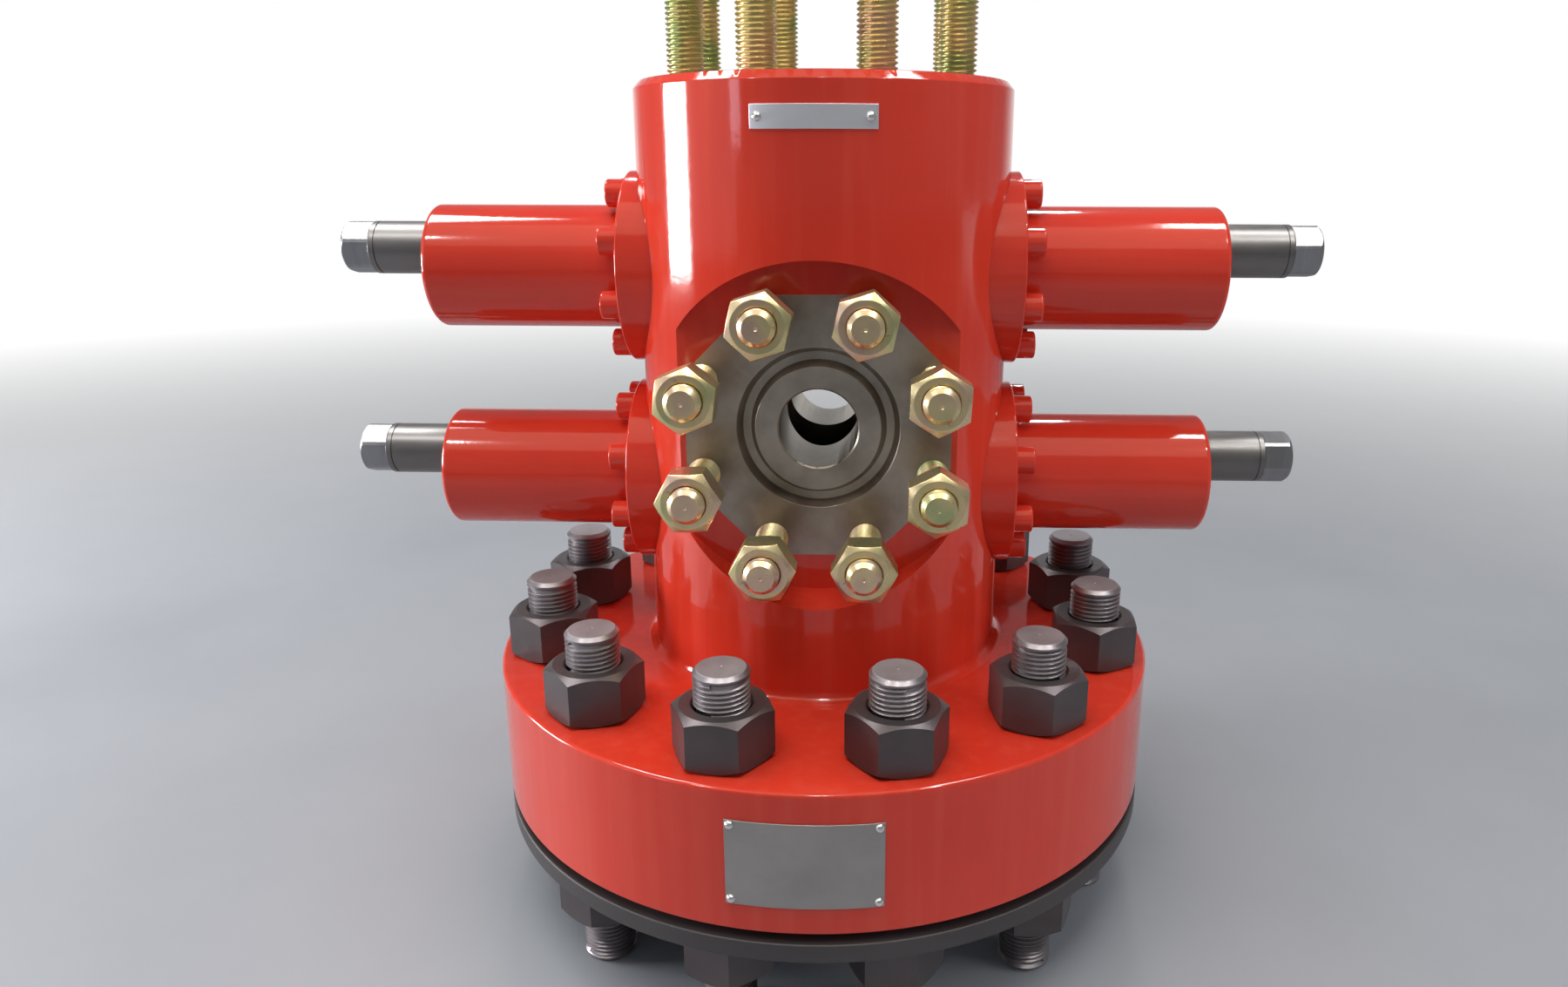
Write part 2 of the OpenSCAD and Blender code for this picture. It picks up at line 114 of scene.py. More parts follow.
# Plates: width, height, level of the middle, and how far the rivets are from it
SHEET_THICK = 1.0
TAG_W, TAG_H, TAG_Z = 76.0, 14.0, BODY_TOP - 26.4
NAMEPLATE_W, NAMEPLATE_H, NAMEPLATE_Z = 94.0, 56.0, (FLANGE_LOW + FLANGE_TOP) / 2
NAMEPLATE_TURN = -0.2
TAG_RIVET = 33.4
NAMEPLATE_RIVET = (43.7, 24.7)

# Each bonnet's side and level, how far out its screw stands, and its hexagon's turn in degrees
BONNETS = {
    "upper_left": (LEFT, UPPER_Z, 0.0, 48.0),
    "upper_right": (RIGHT, UPPER_Z, 3.3, 18.0),
    "lower_left": (LEFT, LOWER_Z, 3.3, 52.5),
    "lower_right": (RIGHT, LOWER_Z, -1.5, 48.6),
}


# Modelling helpers

def deselect():
    bpy.ops.object.select_all(action="DESELECT")


def take(piece):
    """Selects one piece and nothing else."""
    deselect()
    piece.select_set(True)
    bpy.context.view_layer.objects.active = piece


def newest(name):
    piece = bpy.context.view_layer.objects.active
    piece.name = piece.data.name = name
    return piece


def settle(piece, matrix=None):
    """Puts the piece's place into its mesh, so that its object is at the origin."""
    take(piece)
    if matrix is not None:
        piece.matrix_world = matrix @ piece.matrix_world
    bpy.ops.object.transform_apply(location=True, rotation=True, scale=True)
    return piece


def modify(piece, kind, **settings):
    take(piece)
    modifier = piece.modifiers.new(kind.title(), kind)
    for key, value in settings.items():
        setattr(modifier, key, value)
    bpy.ops.object.modifier_apply(modifier=modifier.name)
    return piece


def cut(piece, cutter, how="DIFFERENCE"):
    """Cuts with a solid. If nothing is left, it tries again with the cutter turned by a hair."""
    before = piece.data.copy()
    for hair in (0.0, 0.02, 0.05):
        cutter.rotation_euler.z = radians(hair)
        modify(piece, "BOOLEAN", operation=how, solver="EXACT", object=cutter)
        if piece.data.polygons:
            break
        piece.data = before.copy()
    bpy.data.meshes.remove(before)
    take(cutter)
    bpy.ops.object.delete()
    return piece


def arc(x, z, r, start, end, parts=6):
    """Points of a round edge about (x, z), from one angle in degrees to another."""
    step = (end - start) / parts
    return [(x + r * cos(radians(start + i * step)), z + r * sin(radians(start + i * step)))
            for i in range(parts + 1)]


def turned(name, outline, steps=96, closed=False, angle=2 * pi):
    """A piece turned about +Z from an outline of (radius, height) in millimetres."""
    deselect()
    bpy.ops.mesh.primitive_plane_add(size=MM)
    piece = newest(name)
    bpy.ops.object.mode_set(mode="EDIT")
    bpy.ops.mesh.select_all(action="SELECT")
    bpy.ops.mesh.merge(type="CENTER")
    bpy.ops.transform.translate(value=(outline[0][0] * MM, 0, outline[0][1] * MM))
    for (r0, z0), (r1, z1) in zip(outline, outline[1:]):
        bpy.ops.mesh.extrude_region_move(
            TRANSFORM_OT_translate={"value": ((r1 - r0) * MM, 0, (z1 - z0) * MM)})
    if closed:
        bpy.ops.object.mode_set(mode="OBJECT")
        count = len(piece.data.vertices)
        for vertex in piece.data.vertices:
            vertex.select = vertex.index in (0, count - 1)
        bpy.ops.object.mode_set(mode="EDIT")
        bpy.ops.mesh.edge_face_add()
    bpy.ops.mesh.select_all(action="SELECT")
    bpy.ops.mesh.spin(steps=steps, angle=angle, center=(0, 0, 0), axis=(0, 0, 1))
    bpy.ops.mesh.select_all(action="SELECT")
    bpy.ops.mesh.remove_doubles(threshold=1e-6)
    if angle < 2 * pi:
        bpy.ops.mesh.select_all(action="DESELECT")
        bpy.ops.mesh.select_non_manifold()
        bpy.ops.mesh.edge_face_add()
        bpy.ops.mesh.select_all(action="SELECT")
    bpy.ops.mesh.normals_make_consistent(inside=False)
    bpy.ops.object.mode_set(mode="OBJECT")
    return piece


def hexagon(name, across, low, high):
    """A six-sided bar along +Z with a corner towards +X."""
    deselect()
    bpy.ops.mesh.primitive_cylinder_add(vertices=6, radius=across / 2 / cos(pi / 6) * MM,
                                        depth=(high - low) * MM,
                                        location=(0, 0, (low + high) / 2 * MM), rotation=(0, 0, pi / 6))
    return settle(newest(name))


def joined(name, pieces):
    deselect()
    for piece in pieces:
        piece.select_set(True)
    bpy.context.view_layer.objects.active = pieces[0]
    bpy.ops.object.join()
    return newest(name)


def copies(name, piece, places):
    """Copies a piece to each place, each with its own mesh, and joins them."""
    made = []
    for place in places:
        take(piece)
        bpy.ops.object.duplicate()
        made.append(settle(bpy.context.view_layer.objects.active, place))
    take(piece)
    bpy.ops.object.delete()
    return joined(name, made)


def circle_places(base, across, count, z=0.0, turns=None):
    """Places round a circle, half a step from +X, each turned on its own axis."""
    places = []
    for i in range(count):
        about = Matrix.Rotation(radians((i + 0.5) * 360 / count), 4, "Z")
        out = Matrix.Translation((across / 2 * MM, 0, z * MM))
        own = Matrix.Rotation(radians(turns[i] if turns else 0), 4, "Z")
        places.append(base @ about @ out @ own)
    return places


def outlet_frame(side):
    """+Z of the piece points out of the front (FRONT) or the back (BACK) outlet."""
    return Matrix.Translation((0, 0, OUTLET_Z * MM)) @ Matrix.Rotation(radians(90 * side), 4, "X")


def bonnet_frame(side, z):
    """+Z of the piece points out along a bonnet."""
    return Matrix.Translation((0, 0, z * MM)) @ Matrix.Rotation(radians(90 * side), 4, "Y")


def smooth(piece, angle):
    """Smooth shading that keeps flat faces flat and edges over the angle sharp."""
    take(piece)
    bpy.ops.object.shade_smooth_by_angle(angle=radians(angle), keep_sharp_edges=False)
    modify(piece, "WEIGHTED_NORMAL", mode="FACE_AREA", weight=50, keep_sharp=True)
    return piece


def soften(piece, width, angle, edge_slot=-1):
    """Rounds every edge sharper than the angle, and gives the round the material of edge_slot."""
    modify(piece, "BEVEL", width=width * MM, segments=2, limit_method="ANGLE",
           angle_limit=radians(angle), offset_type="OFFSET", use_clamp_overlap=True,
           harden_normals=False, material=edge_slot)
    return smooth(piece, 60)


# Materials

class Wire:
    """A socket of a node tree, with arithmetic that adds Math nodes."""

    def __init__(self, finish, socket):
        self.finish = finish
        self.socket = socket

    def math(self, operation, first, second=None):
        inputs = {0: first} if second is None else {0: first, 1: second}
        return self.finish.node("ShaderNodeMath", {"operation": operation}, inputs)

    def __add__(self, other):
        return self.math("ADD", self, other)

    def __radd__(self, other):
        return self.math("ADD", other, self)

    def __sub__(self, other):
        return self.math("SUBTRACT", self, other)

    def __rsub__(self, other):
        return self.math("SUBTRACT", other, self)

    def __mul__(self, other):
        return self.math("MULTIPLY", self, other)

    def __truediv__(self, other):
        return self.math("DIVIDE", self, other)

    def __lt__(self, other):
        return self.math("LESS_THAN", self, other)

    def __gt__(self, other):
        return self.math("GREATER_THAN", self, other)

    def __abs__(self):
        return self.math("ABSOLUTE", self)

    def __pow__(self, other):
        return self.math("POWER", self, other)

    def highest(self, other):
        return self.math("MAXIMUM", self, other)

    def held(self):
        """The value kept between 0 and 1."""
        return self.math("MINIMUM", self.math("MAXIMUM", self, 0.0), 1.0)


class Finish:
    """One material, or the world, and the means to add nodes to it."""

    def __init__(self, name, world=None):
        self.material = world or bpy.data.materials.new(name)
        self.material.use_nodes = True
        self.tree = self.material.node_tree
        self.tree.nodes.clear()
        self.place = self.node("ShaderNodeTexCoord", output="Object")

    def node(self, kind, settings=None, inputs=None, output=0):
        made = self.tree.nodes.new(kind)
        for key, value in (settings or {}).items():
            if key == "stops":
                ramp = made.color_ramp
                while len(ramp.elements) < len(value):
                    ramp.elements.new(0.5)
                for element, (position, colour) in zip(ramp.elements, value):
                    element.position = position
                    element.color = (*colour, 1)
            else:
                setattr(made, key, value)
        for key, value in (inputs or {}).items():
            if isinstance(value, Wire):
                self.tree.links.new(value.socket, made.inputs[key])
            else:
                made.inputs[key].default_value = value
        return Wire(self, made.outputs[output] if made.outputs else None)

    def axes(self):
        """The three object coordinates as separate values."""
        split = self.node("ShaderNodeSeparateXYZ", inputs={0: self.place})
        node = split.socket.node
        return [Wire(self, node.outputs[i]) for i in range(3)]

    def noise(self, scale, detail, rough, stretch=None):
        where = self.place
        if stretch:
            where = self.node("ShaderNodeMapping", inputs={"Vector": self.place, "Scale": stretch})
        return self.node("ShaderNodeTexNoise", inputs={"Vector": where, "Scale": scale, "Detail": detail,
                                                       "Roughness": rough})

    def rings(self, distance, density):
        """Fine uneven lines that follow a distance, as a lathe leaves them."""
        return self.node("ShaderNodeTexNoise", {"noise_dimensions": "1D"},
                         {"W": distance * density, "Scale": 1.0, "Detail": 3.0, "Roughness": 0.7})

    def mix(self, amount, first, second):
        """A colour between two colours."""
        first, second = [(*value, 1) if isinstance(value, tuple) else value
                         for value in (first, second)]
        return self.node("ShaderNodeMix", {"data_type": "RGBA"}, {0: amount, 6: first, 7: second},
                         output=2)

    def blend(self, amount, first, second):
        """A shader between two shaders."""
        return self.node("ShaderNodeMixShader", inputs={0: amount, 1: first, 2: second})

    def bump(self, height, distance, strength, below=None):
        inputs = {"Height": height, "Distance": distance, "Strength": strength}
        if below:
            inputs["Normal"] = below
        return self.node("ShaderNodeBump", inputs=inputs)

    def surface(self, colour, rough, metal=0.0, normal=None):
        inputs = {"Base Color": colour, "Roughness": rough, "Metallic": metal}
        if normal:
            inputs["Normal"] = normal
        return self.node("ShaderNodeBsdfPrincipled", inputs=inputs)

    def done(self, shader):
        self.node("ShaderNodeOutputMaterial", inputs={"Surface": shader})
        return self.material


RED_DEEP = (0.62, 0.032, 0.016)
RED_LIT = (0.77, 0.054, 0.026)
RED_STREAK = (0.80, 0.110, 0.060)
# Noise scales that draw a pattern out along one axis
ALONG_X = (0.22, 1.0, 1.0)
ALONG_Z = (1.0, 1.0, 0.22)
# Half widths, in metres, of the octagons that were masked when the body was painted
OUTLET_MASK = 0.0875
TOP_MASK = 0.099


def red_enamel(finish, along):
    """Sprayed gloss enamel: faint orange peel, streaks along the piece and a little colour drift."""
    drift = finish.noise(9.0, 3.0, 0.55)
    peel = finish.noise(260.0, 1.0, 0.4)
    waves = finish.noise(22.0, 1.5, 0.4, along)
    streaks = finish.noise(240.0, 2.0, 0.5, tuple(0.4 * part ** 2 for part in along))
    dust = finish.noise(700.0, 1.0, 0.5)
    colour = finish.mix(drift, RED_DEEP, RED_LIT)
    colour = finish.mix(((streaks - 0.48) * 5.0).held() * 0.16, colour, RED_STREAK)
    normal = finish.bump(waves, 0.0008, 0.3)
    normal = finish.bump(streaks, 0.00006, 0.5, normal)
    normal = finish.bump(peel, 0.00006, 0.5, normal)
    return finish.surface(colour, 0.06 + dust * 0.06, 0.0, normal)


def bare_steel(finish, distance):
    """Turned bare steel with lathe lines and a thin film of oil."""
    lines = finish.rings(distance, 2600.0)
    cloud = finish.noise(16.0, 4.0, 0.6)
    stain = finish.noise(70.0, 3.0, 0.6)
    colour = finish.mix(((cloud - 0.35) * 3.3).held(), (0.26, 0.225, 0.185), (0.52, 0.475, 0.415))
    colour = finish.mix(stain * 0.5, colour, (0.29, 0.25, 0.20))
    normal = finish.bump(lines, 0.00002, 0.5)
    return finish.surface(colour, 0.26 + cloud * 0.2, 0.92, normal)


def octagon(first, second, half):
    """1 inside an octagon of that half width in the plane of two axes."""
    across, up = abs(first), abs(second)
    return across.highest(up).highest((across + up) * sqrt(0.5)) < half


def red_paint():
    """Red enamel of the bonnets and their screws."""
    finish = Finish("red_enamel")
    return finish.done(red_enamel(finish, ALONG_X))


def body_paint():
    """Red enamel with the faces and bores that were masked left as bare steel."""
    finish = Finish("body_enamel")
    x, y, z = finish.axes()
    from_outlet = z - OUTLET_Z * MM
    at_outlet = octagon(x, from_outlet, OUTLET_MASK) * (abs(y) < (OUTLET_FACE + 0.4) * MM)
    from_axis = (x * x + y * y) ** 0.5
    in_bore = from_axis < (BORE_R + 0.6) * MM
    on_top = octagon(x, y, TOP_MASK) * (z > (BODY_TOP - 9) * MM)
    bare = at_outlet.highest(in_bore).highest(on_top)
    near_outlet = (x * x + from_outlet * from_outlet) ** 0.5
    upper = z > (BODY_TOP - 12) * MM
    distance = near_outlet * (1.0 - upper) + from_axis * upper
    enamel = red_enamel(finish, ALONG_Z)
    return finish.done(finish.blend(bare, enamel, bare_steel(finish, distance)))


def black_oxide():
    """Blackened steel, oily and cloudy."""
    finish = Finish("black_oxide")
    cloud = finish.noise(38.0, 4.0, 0.6)
    grain = finish.noise(420.0, 2.0, 0.6)
    colour = finish.mix(cloud, (0.070, 0.058, 0.060), (0.125, 0.106, 0.110))
    normal = finish.bump(grain, 0.00004, 0.5)
    return finish.done(finish.surface(colour, 0.30 + cloud * 0.18, 0.6, normal))


def worn_black():
    """Edges of blackened nuts, worn through to steel in places and lightened as a painted highlight."""
    finish = Finish("worn_and_sheen_edge")
    edge_noise = finish.noise(130.0, 4.0, 0.7)
    amount = ((edge_noise - 0.42) * 4.0).held()
    # The light edge colour is partly bare steel showing through and partly a painted highlight on the
    # chamfers.
    colour = finish.mix(amount, (0.24, 0.22, 0.23), (0.60, 0.58, 0.60))
    return finish.done(finish.surface(colour, 0.36, 0.8))


def thread_steel():
    """Dark steel of the flange studs, duller on their sawn upper ends."""
    finish = Finish("thread_black")
    cloud = finish.noise(55.0, 3.0, 0.6)
    z = finish.axes()[2]
    sawn = z > (FLANGE_STUD_LONG - 0.4) * MM
    colour = finish.mix(cloud, (0.19, 0.168, 0.175), (0.34, 0.312, 0.325))
    return finish.done(finish.surface(colour, 0.32 + cloud * 0.14 + sawn * 0.2, 0.9 - sawn * 0.2))


def yellow_zinc():
    """Yellow chromate on zinc: gold with green and rose bloom."""
    finish = Finish("yellow_zinc")
    bloom = finish.noise(34.0, 2.0, 0.5)
    spots = finish.noise(210.0, 3.0, 0.6)
    hue = finish.node("ShaderNodeValToRGB", {"stops": [
        (0.32, (0.46, 0.52, 0.25)), (0.44, (0.68, 0.60, 0.31)), (0.55, (0.80, 0.64, 0.36)),
        (0.68, (0.72, 0.50, 0.38))]}, {"Fac": bloom})
    colour = finish.mix(spots * 0.3, hue, (0.46, 0.39, 0.19))
    normal = finish.bump(spots, 0.00004, 0.5)
    return finish.done(finish.surface(colour, 0.22 + spots * 0.16, 0.9, normal))


def zinc_edge():
    """Edges of the plated nuts, burnished bright."""
    finish = Finish("zinc_edge")
    edge_noise = finish.noise(150.0, 3.0, 0.6)
    colour = finish.mix(edge_noise, (0.66, 0.60, 0.40), (0.92, 0.90, 0.80))
    return finish.done(finish.surface(colour, 0.16 + edge_noise * 0.12, 0.95))


def rod_steel():
    """Dark turned steel of the ram screws."""
    finish = Finish("rod_steel")
    x = finish.axes()[0]
    lines = finish.rings(x, 2200.0)
    smear = finish.noise(30.0, 4.0, 0.65, (0.35, 1.0, 1.0))
    colour = finish.mix(smear, (0.115, 0.110, 0.107), (0.235, 0.225, 0.220))
    normal = finish.bump(lines, 0.00003, 0.6)
    return finish.done(finish.surface(colour, 0.30 + smear * 0.16, 0.85, normal))


def hex_steel():
    """Brighter milled flats with scratches."""
    finish = Finish("hex_steel")
    scratch = finish.noise(95.0, 4.0, 0.7, (1.0, 0.15, 0.15))
    colour = finish.mix(scratch, (0.17, 0.17, 0.18), (0.38, 0.38, 0.39))
    normal = finish.bump(scratch, 0.00005, 0.5)
    return finish.done(finish.surface(colour, 0.26 + scratch * 0.2, 0.92, normal))


def plate_steel(name, dull, bright):
    """Thin bare sheet, brushed across, a little stained."""
    finish = Finish(name)
    brushed = finish.noise(60.0, 4.0, 0.6, (1.0, 1.0, 30.0))
    stain = finish.noise(26.0, 4.0, 0.6)
    colour = finish.mix(stain, dull, bright)
    normal = finish.bump(brushed, 0.00003, 0.5)
    return finish.done(finish.surface(colour, 0.30 + brushed * 0.14, 0.85, normal))


def rivet_metal():
    """Bright, slightly scuffed rivet heads."""
    finish = Finish("rivet_metal")
    scuff = finish.noise(300.0, 2.0, 0.6)
    colour = finish.mix(scuff, (0.62, 0.62, 0.62), (0.78, 0.78, 0.78))
    return finish.done(finish.surface(colour, 0.16 + scuff * 0.12, 0.95))


def plate_black():
    """Dull black coating of the base plate."""
    finish = Finish("base_black")
    cloud = finish.noise(12.0, 5.0, 0.6)
    grain = finish.noise(300.0, 2.0, 0.6)
    colour = finish.mix(cloud, (0.042, 0.037, 0.038), (0.085, 0.075, 0.077))
    normal = finish.bump(grain, 0.00006, 0.5)
    return finish.done(finish.surface(colour, 0.42 + cloud * 0.16, 0.25, normal))


def seal_rubber():
    """Matt black rubber of the rams' faces."""
    finish = Finish("seal_rubber")
    grain = finish.noise(180.0, 3.0, 0.6)
    colour = finish.mix(grain, (0.012, 0.012, 0.012), (0.032, 0.031, 0.030))
    normal = finish.bump(grain, 0.0001, 0.5)
    return finish.done(finish.surface(colour, 0.55 + grain * 0.15, 0.0, normal))


RED = red_paint()
BODY = body_paint()
BLACK = black_oxide()
WORN_AND_SHEEN = worn_black()
THREAD = thread_steel()
ZINC = yellow_zinc()
ZINC_EDGE = zinc_edge()
ROD = rod_steel()
FLATS = hex_steel()
SHEET = plate_steel("plate_sheet", (0.28, 0.26, 0.25), (0.42, 0.395, 0.385))
TAG = plate_steel("tag_sheet", (0.66, 0.66, 0.70), (0.84, 0.84, 0.88))
RIVET = rivet_metal()
BASE = plate_black()
RUBBER = seal_rubber()


def finish_piece(piece, body, node, slot, *materials):
    """Gives a piece its materials and body, and hides its CAD node; the slot is not used."""
    if materials:
        piece.data.materials.clear()
        for material in materials:
            piece.data.materials.append(material)
    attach(piece, body)
    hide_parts(node)
    return piece


# Nuts, studs and screws

def nut(name, across, height, hole, share, sink, edge):
    """A heavy hexagon nut on z = 0: corners turned off at both ends, countersunk hole, soft edges.

    Share is the part of the flats' width that the round end face takes.
    """
    corner = across / 2 / cos(pi / 6)
    flat = across / 2 * share
    rise = (corner - flat) * tan(radians(30))
    piece = hexagon(name, across, -1, height + 1)
    low = rise + tan(radians(30))
    turned_off = turned("nut_ends", [(0, 0), (flat, 0), (corner + 1, low), (corner + 1, height - low),
                                     (flat, height), (0, height)])
    cut(piece, turned_off, "INTERSECT")
    drill = turned("nut_hole", [(0, -1), (hole + sink + 1, -1), (hole, sink), (hole, height - sink),
                                (hole + sink + 1, height + 1), (0, height + 1)], 48)
    cut(piece, drill)
    piece.data.materials.clear()
    for _ in range(2):
        piece.data.materials.append(None)
    return soften(piece, edge, 24, 1)


def stud(name, d, length, pitch, threads, bevel):
    """A stud on z = 0, bevelled at both ends, with true right-hand threads between given levels."""
    r = d / 2
    depth = pitch * 0.6
    root = r - depth
    land = bevel + pitch * 0.35
    dimple = 0.9
    low = [(0, dimple), (dimple * 1.3, 0), (r - bevel, 0), (r - 0.05, bevel), (r - 0.05, land),
           (root, land + depth)]
    high = [(radius, length - level) for radius, level in reversed(low)]
    core = turned(name, low + high, 64)
    ridges = [thread("ridge", r, root, pitch, start, end) for start, end in threads]
    return smooth(joined(name, [core] + ridges), 30)


def thread(name, r, root, pitch, start, end):
    """One helical ridge, closed at both ends."""
    deselect()
    bpy.ops.mesh.primitive_plane_add(size=MM)
    piece = newest(name)
    crest = pitch / 16
    foot = pitch * 0.49
    corners = [(root - 0.25, -foot), (r, -crest), (r, crest), (root - 0.25, foot)]
    bpy.ops.object.mode_set(mode="EDIT")
    bpy.ops.mesh.select_all(action="SELECT")
    bpy.ops.mesh.merge(type="CENTER")
    bpy.ops.transform.translate(value=(corners[0][0] * MM, 0, (start + corners[0][1]) * MM))
    for (r0, z0), (r1, z1) in zip(corners, corners[1:]):
        bpy.ops.mesh.extrude_region_move(
            TRANSFORM_OT_translate={"value": ((r1 - r0) * MM, 0, (z1 - z0) * MM)})
    bpy.ops.mesh.select_all(action="SELECT")
    bpy.ops.mesh.edge_face_add()
    bpy.ops.mesh.delete(type="ONLY_FACE")
    bpy.ops.object.mode_set(mode="OBJECT")
    turns = max(1, round((end - start) / pitch))
    modify(piece, "SCREW", axis="Z", angle=2 * pi, steps=24, render_steps=24,
           screw_offset=pitch * MM, iterations=turns, use_merge_vertices=True, merge_threshold=1e-6)
    take(piece)
    bpy.ops.object.mode_set(mode="EDIT")
    bpy.ops.mesh.select_all(action="DESELECT")
    bpy.ops.mesh.select_non_manifold()
    bpy.ops.mesh.fill_holes(sides=0)
    bpy.ops.mesh.select_all(action="SELECT")
    bpy.ops.mesh.normals_make_consistent(inside=False)
    bpy.ops.object.mode_set(mode="OBJECT")
    return piece


def cap_screw(name):
    """A socket-head cap screw under paint, with the disc's outer face at z = 0."""
    r, h, edge = CAP_SCREW_HEAD_R, CAP_SCREW_HEAD_H, CAP_SCREW_EDGE
    tip = -(DISC - SEAT) - CAP_SCREW_IN
    outline = [(0, tip), (CAP_SCREW_SHANK_R, tip), (CAP_SCREW_SHANK_R, 0), (r, 0)]
    outline += arc(r - edge, h - edge, edge, 0, 90, 5) + [(0, h)]
    piece = turned(name, outline, 40)
    cut(piece, hexagon("socket", CAP_SCREW_KEY, h - 6, h + 1))
    return soften(piece, 0.35, 40)


# How far each nut is turned about its stud, in degrees, in the order of circle_places
UPPER_TURNS = [34, 3, 12, 47, 21, 31, 14, 29, 39, 25, 25, 42]
LOWER_TURNS = [8, 31, 50, 17, 43, 26, 5, 38, 22, 11, 54, 35]
FRONT_TURNS = [5, 10, 25, 45, 40, 55, 7, 50]
BACK_TURNS = [33, 8, 50, 21, 14, 47, 29, 3]
TOP_TURNS = [12, 40, 26, 55, 8, 33, 48, 19]


def make_flange_bolting():
    level = Matrix.Identity(4)
    one = stud("flange_stud", FLANGE_STUD_D, FLANGE_STUD_LONG, COARSE_PITCH,
               threads=[(5.6, 35.0), (216.0, 236.0)], bevel=2.5)
    finish_piece(copies("flange_studs_threaded", one, circle_places(level, FLANGE_CIRCLE, 12)),
                 "housing", "flange_studs", "black_oxide", THREAD)
    for node, z, turns in (("flange_upper_nuts", FLANGE_TOP, UPPER_TURNS),
                           ("flange_lower_nuts", LOWER_NUT_Z, LOWER_TURNS)):
        one = nut("flange_nut", FLANGE_NUT_ACROSS, FLANGE_NUT_H, hole=17.8, share=0.94,
                  sink=1.6, edge=0.9)
        # The nuts' rounded edges take the worn steel with its painted highlight.
        finish_piece(copies(node + "_finished", one, circle_places(level, FLANGE_CIRCLE, 12, z, turns)),
                     "housing", node, "black_oxide", BLACK, WORN_AND_SHEEN)


def make_outlet_bolting():
    nut_z = OUTLET_FACE + OUTLET_STUD_OUT - OUTLET_STUD_PAST - OUTLET_NUT_H
    for word, side, turns in (("front", FRONT, FRONT_TURNS), ("back", BACK, BACK_TURNS)):
        base = outlet_frame(side)
        one = stud("outlet_stud", OUTLET_STUD_D, OUTLET_STUD_IN + OUTLET_STUD_OUT, OUTLET_PITCH,
                   threads=[(23.0, 95.2)], bevel=2.7)
        finish_piece(copies(word + "_outlet_studs_threaded", one,
                            circle_places(base, OUTLET_CIRCLE, 8, OUTLET_FACE - OUTLET_STUD_IN)),
                     "housing", word + "_outlet_studs", "yellow_zinc", ZINC)
        one = nut("outlet_nut", OUTLET_NUT_ACROSS, OUTLET_NUT_H, hole=11.4, share=0.88,
                  sink=0.6, edge=0.6)
        finish_piece(copies(word + "_outlet_nuts_finished", one,
                            circle_places(base, OUTLET_CIRCLE, 8, nut_z, turns)),
                     "housing", word + "_outlet_nuts", "yellow_zinc", ZINC, ZINC_EDGE)


def make_top_bolting():
    level = Matrix.Identity(4)
    nut_z = BODY_TOP + TOP_STUD_OUT - TOP_STUD_PAST - TOP_NUT_H
    one = stud("top_stud", TOP_STUD_D, TOP_STUD_IN + TOP_STUD_OUT, COARSE_PITCH,
               threads=[(31.0, 129.5)], bevel=2.9)
    finish_piece(copies("top_studs_threaded", one,
                        circle_places(level, TOP_CIRCLE, 8, BODY_TOP - TOP_STUD_IN)),
                 "housing", "top_studs", "yellow_zinc", ZINC)
    one = nut("top_nut", TOP_NUT_ACROSS, TOP_NUT_H, hole=13.0, share=0.88, sink=0.6, edge=0.6)
    finish_piece(copies("top_nuts_finished", one,
                        circle_places(level, TOP_CIRCLE, 8, nut_z, TOP_TURNS)),
                 "housing", "top_nuts", "yellow_zinc", ZINC, ZINC_EDGE)


# Bonnets and their screws

def make_bonnets():
    for word, (side, z, out, turn) in BONNETS.items():
        base = bonnet_frame(side, z)
        edge, fillet, end_edge = 1.4, 1.6, 4.0
        outline = [(0, SEAT), (DISC_R - 0.8, SEAT)] + arc(DISC_R - edge, DISC - edge, edge, 0, 90, 4)
        outline += arc(BARREL_R + fillet, DISC + fillet, fillet, -90, -180, 4)
        outline += arc(BARREL_R - end_edge, BARREL - end_edge, end_edge, 0, 90, 7) + [(0, BARREL)]
        piece = turned(word + "_bonnet_painted", outline, 192)
        bore_r, sink = SCREW_R + 0.1, 1.2
        bore = turned("bore", [(0, SEAT - 1), (bore_r, SEAT - 1), (bore_r, BARREL - sink),
                               (bore_r + 2 * sink, BARREL + sink), (0, BARREL + sink)], 64)
        settle(bore, Matrix.Translation((-side * SCREW_RISE * MM, 0, 0)))
        cut(piece, bore)
        settle(smooth(piece, 32), base)
        finish_piece(piece, "housing", word + "_bonnet", "red_paint", RED)
        one = cap_screw("bonnet_screw")
        finish_piece(copies(word + "_bonnet_screws_painted", one,
                            circle_places(base, CAP_SCREW_CIRCLE, 8, DISC)),
                     "housing", word + "_bonnet_screws", "red_paint", RED)
        make_ram_screw(word, side, z, out, turn)


